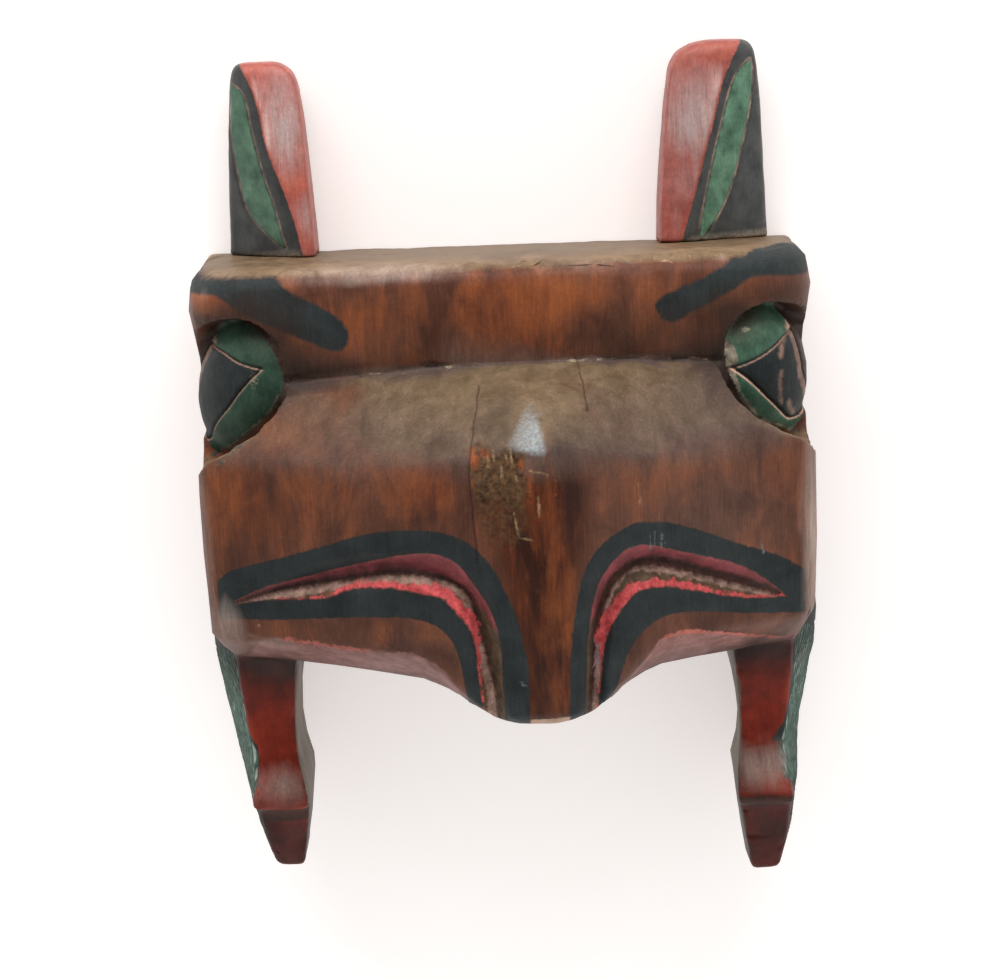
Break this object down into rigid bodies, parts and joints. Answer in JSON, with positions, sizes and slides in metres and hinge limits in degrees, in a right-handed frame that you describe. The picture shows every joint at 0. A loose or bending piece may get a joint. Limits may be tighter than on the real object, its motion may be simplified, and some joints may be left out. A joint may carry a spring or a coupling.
{
  "type": "carved thunderbird mask",
  "caption": "Carved and painted cedar mask of a thunderbird with a hooked beak, domed eyes, upright ears and side legs, hollowed behind to be worn.",
  "frame": {"origin": "middle of the mask's length and width, on the plane of the flat rim of its back, on which it lies", "axes": "+X to the viewer's right, +Y up the face towards the ears, +Z out of the face along the beak"},
  "size_m": [0.242, 0.33, 0.148],
  "materials": {
    "carved_cedar": "satin",
    "painted_cedar": "satin"
  },
  "bodies": {
    "root": {"mask_head": "carved_cedar", "ear_left": "painted_cedar", "ear_right": "painted_cedar"}
  },
  "joints": []
}
